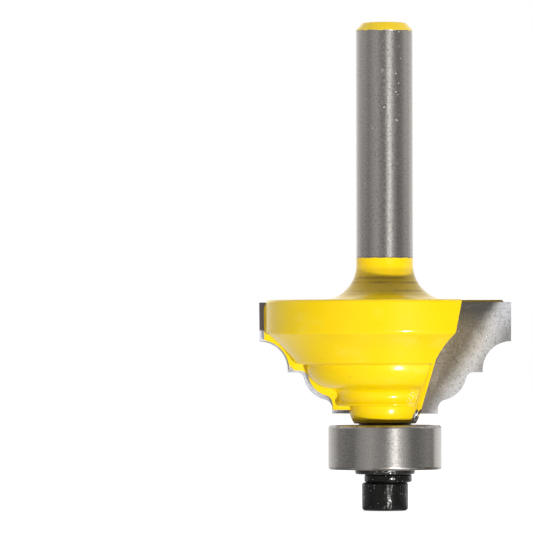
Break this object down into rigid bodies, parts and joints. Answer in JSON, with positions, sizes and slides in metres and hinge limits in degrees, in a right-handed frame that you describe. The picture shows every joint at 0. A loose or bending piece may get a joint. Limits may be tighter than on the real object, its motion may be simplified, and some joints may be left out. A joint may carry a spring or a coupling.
{
  "type": "router bit",
  "caption": "Cove and bead router bit: a straight shank and painted turned body with brazed carbide tips, guided by a shielded ball bearing held by a socket screw and washers.",
  "frame": {"origin": "centre of the end of the bearing screw's head, on which the bit stands", "axes": "+Z along the bit's axis towards the shank end; +X through the cutting edge of tip 1, whose rake face looks along -Y"},
  "size_m": [0.0286, 0.0266, 0.0547],
  "materials": {
    "painted_steel": "glossy yellow enamel on the turned body, bare ground steel on the shank",
    "carbide": "ground tungsten carbide, dark grey, satin with fine grinding marks",
    "bearing_steel": "fine ground bearing steel",
    "ball_steel": "polished bearing steel",
    "pressed_steel": "plain pressed sheet steel",
    "shield_steel": "stamped stainless sheet",
    "spring_wire": "bright spring steel",
    "black_oxide": "oiled black oxide on steel"
  },
  "bodies": {
    "cutter": {"bit_body": "painted_steel", "cutting_tip_1": "carbide", "cutting_tip_2": "carbide", "bearing_inner_ring": "bearing_steel", "flat_washer": "black_oxide", "lock_washer": "black_oxide", "bearing_screw": "black_oxide"},
    "pilot_ring": {"bearing_outer_ring": "bearing_steel", "bearing_shield_upper": "shield_steel", "bearing_shield_lower": "shield_steel", "shield_snap_ring_upper": "spring_wire", "shield_snap_ring_lower": "spring_wire"},
    "ball_cage": {"bearing_cage_upper": "pressed_steel", "bearing_cage_lower": "pressed_steel", "cage_rivets": "pressed_steel"},
    "ball_1": {"bearing_ball_1": "ball_steel"},
    "ball_2": {"bearing_ball_2": "ball_steel"},
    "ball_3": {"bearing_ball_3": "ball_steel"},
    "ball_4": {"bearing_ball_4": "ball_steel"},
    "ball_5": {"bearing_ball_5": "ball_steel"},
    "ball_6": {"bearing_ball_6": "ball_steel"},
    "ball_7": {"bearing_ball_7": "ball_steel"}
  },
  "joints": [
    {"name": "pilot_spin", "type": "hinge", "parent": "cutter", "child": "pilot_ring", "pos_m": [0, 0, 0.00708], "axis": [0, 0, 1], "continuous": true},
    {"name": "cage_orbit", "type": "hinge", "parent": "cutter", "child": "ball_cage", "pos_m": [0, 0, 0.00708], "axis": [0, 0, 1], "continuous": true},
    {"name": "ball_1_roll", "type": "hinge", "parent": "ball_cage", "child": "ball_1", "pos_m": [0.00437, 0, 0.00708], "axis": [0, 0, 1], "continuous": true},
    {"name": "ball_2_roll", "type": "hinge", "parent": "ball_cage", "child": "ball_2", "pos_m": [0.00272, 0.00341, 0.00708], "axis": [0, 0, 1], "continuous": true},
    {"name": "ball_3_roll", "type": "hinge", "parent": "ball_cage", "child": "ball_3", "pos_m": [-0.00097, 0.00426, 0.00708], "axis": [0, 0, 1], "continuous": true},
    {"name": "ball_4_roll", "type": "hinge", "parent": "ball_cage", "child": "ball_4", "pos_m": [-0.00393, 0.00189, 0.00708], "axis": [0, 0, 1], "continuous": true},
    {"name": "ball_5_roll", "type": "hinge", "parent": "ball_cage", "child": "ball_5", "pos_m": [-0.00393, -0.00189, 0.00708], "axis": [0, 0, 1], "continuous": true},
    {"name": "ball_6_roll", "type": "hinge", "parent": "ball_cage", "child": "ball_6", "pos_m": [-0.00097, -0.00426, 0.00708], "axis": [0, 0, 1], "continuous": true},
    {"name": "ball_7_roll", "type": "hinge", "parent": "ball_cage", "child": "ball_7", "pos_m": [0.00272, -0.00341, 0.00708], "axis": [0, 0, 1], "continuous": true}
  ],
  "couplings": [
    {"joint": "cage_orbit", "follows": "pilot_spin", "ratio": 0.63515},
    {"joint": "ball_1_roll", "follows": "pilot_spin", "ratio": 1.7147},
    {"joint": "ball_2_roll", "follows": "pilot_spin", "ratio": 1.7147},
    {"joint": "ball_3_roll", "follows": "pilot_spin", "ratio": 1.7147},
    {"joint": "ball_4_roll", "follows": "pilot_spin", "ratio": 1.7147},
    {"joint": "ball_5_roll", "follows": "pilot_spin", "ratio": 1.7147},
    {"joint": "ball_6_roll", "follows": "pilot_spin", "ratio": 1.7147},
    {"joint": "ball_7_roll", "follows": "pilot_spin", "ratio": 1.7147}
  ]
}
